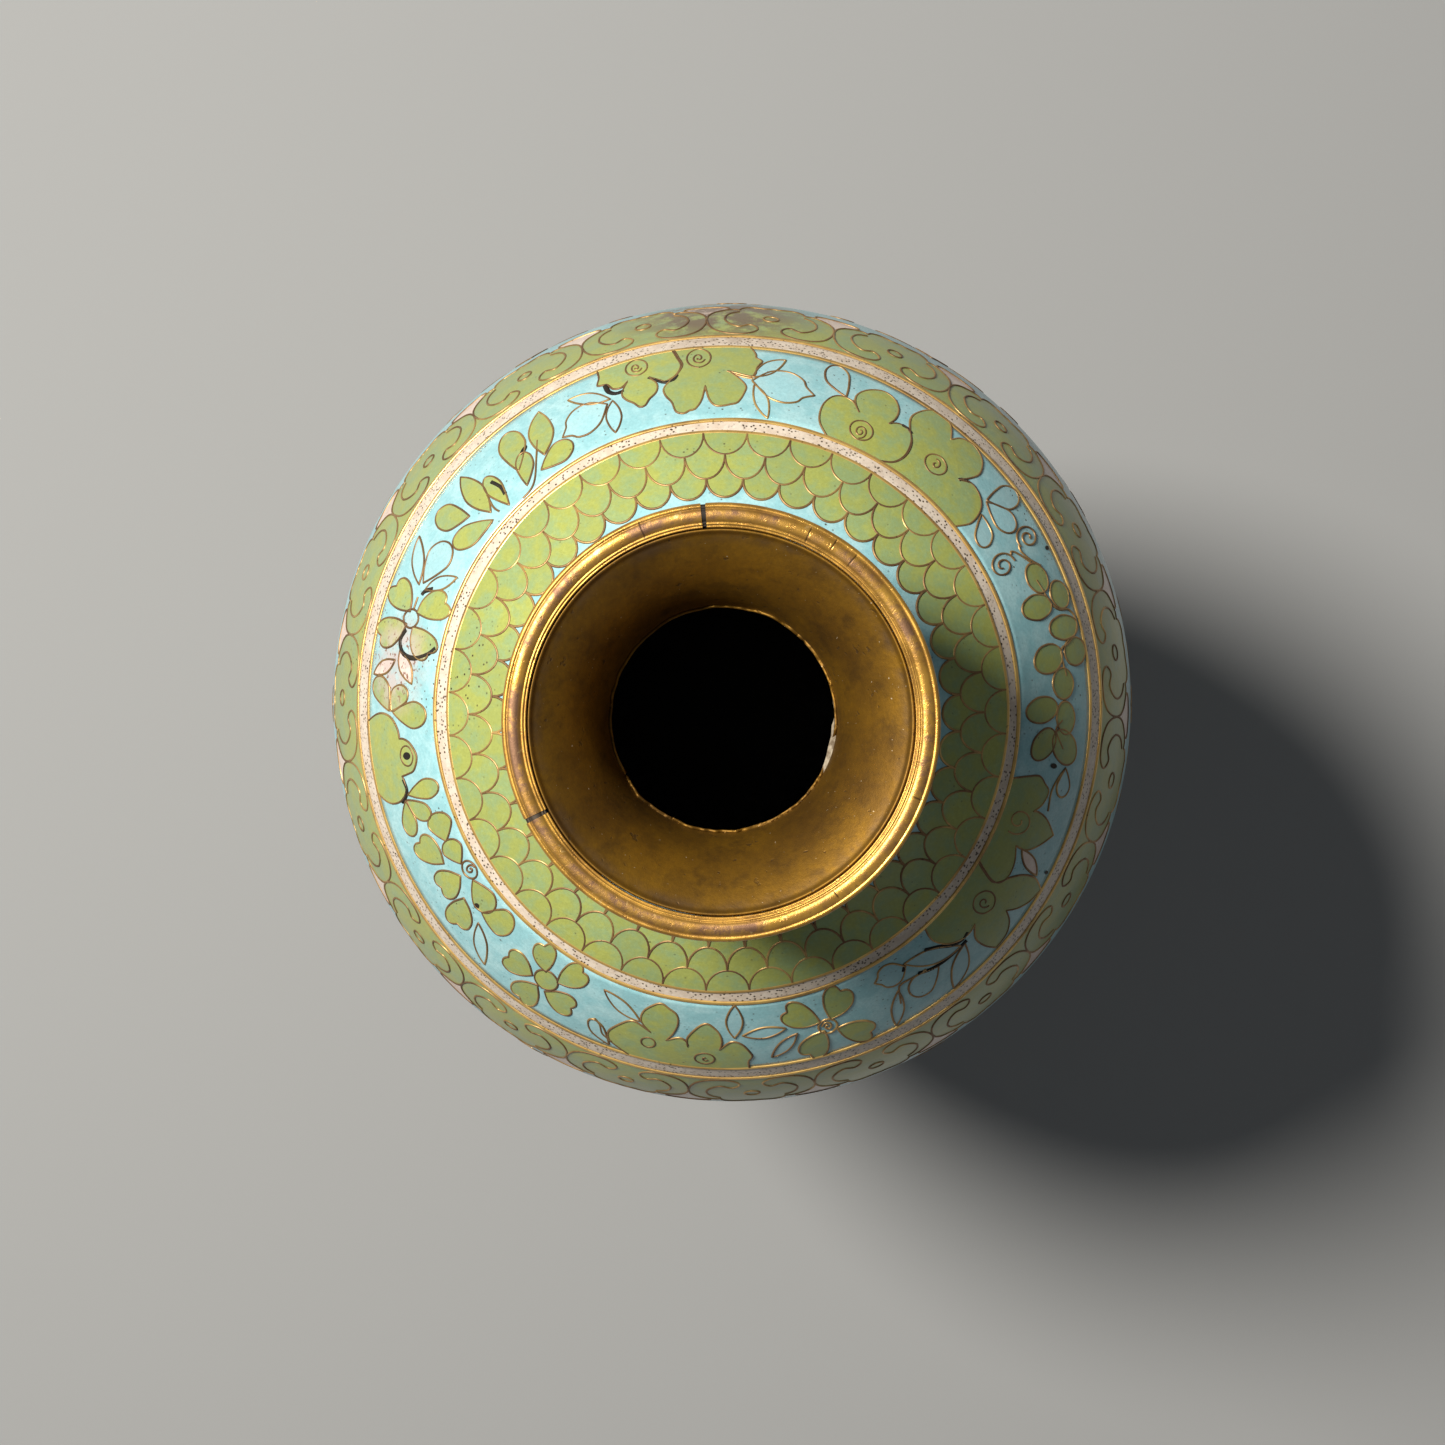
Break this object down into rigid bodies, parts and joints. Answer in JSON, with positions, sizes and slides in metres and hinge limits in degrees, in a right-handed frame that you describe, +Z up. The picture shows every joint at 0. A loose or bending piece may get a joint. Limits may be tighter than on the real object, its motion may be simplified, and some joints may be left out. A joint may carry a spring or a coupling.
{
  "type": "cloisonne vase",
  "caption": "Narrow-necked cloisonne vase: copper body with brass wires and coloured enamel, a flared brass mouth, a high round shoulder and a flared foot.",
  "frame": {"origin": "centre of the foot rim on the surface that the vase stands on", "axes": "+Z up along the axis of the vase, from foot to mouth; +X and +Y across it"},
  "size_m": [0.1192, 0.119, 0.23],
  "materials": {
    "rim_brass": "worn satin brass, lightly browned",
    "funnel_brass": "dull browned brass",
    "wire_brass": "polished brass wire, browned in places",
    "copper": "bare raised copper, fire-darkened",
    "counter_enamel": "dark counter enamel, satin",
    "white_enamel": "cream enamel with dark pits, soft gloss",
    "turquoise_enamel": "pale turquoise enamel, soft gloss",
    "green_enamel": "mottled olive green enamel, soft gloss",
    "rose_enamel": "pale rose enamel, soft gloss"
  },
  "bodies": {
    "root": {"ankle_band_top_wire": "wire_brass", "ankle_enamel": "turquoise_enamel", "ankle_white_band": "white_enamel", "base_enamel": "counter_enamel", "belly_flower_cells": "rose_enamel", "belly_flower_wires": "wire_brass", "belly_seam_strap": "copper", "body_bottom_wire": "wire_brass", "body_ground": "turquoise_enamel", "floor_lining": "counter_enamel", "floor_plate": "copper", "flower_band_bottom_wire": "wire_brass", "flower_band_cells": "green_enamel", "flower_band_ground": "turquoise_enamel", "flower_band_top_wire": "wire_brass", "flower_band_wires": "wire_brass", "foot_enamel": "green_enamel", "foot_rim": "rim_brass", "foot_ring": "copper", "foot_wire": "wire_brass", "lappet_band_bottom_wire": "wire_brass", "lappet_band_ground": "turquoise_enamel", "lappet_band_top_wire": "wire_brass", "lappet_cells": "green_enamel", "lappet_wires": "wire_brass", "lining_lower": "counter_enamel", "lining_upper": "counter_enamel", "lower_shell": "copper", "lower_white_band": "white_enamel", "middle_white_band": "white_enamel", "mouth_rim_long_length": "rim_brass", "mouth_rim_short_length": "rim_brass", "neck_enamel": "turquoise_enamel", "neck_funnel": "funnel_brass", "ruyi_collar_ground": "turquoise_enamel", "ruyi_collar_wire": "wire_brass", "ruyi_head_cells": "green_enamel", "ruyi_head_wires": "wire_brass", "scale_collar_enamel": "green_enamel", "scale_collar_wire": "wire_brass", "shoulder_shell": "copper", "upper_white_band": "white_enamel"}
  },
  "joints": []
}
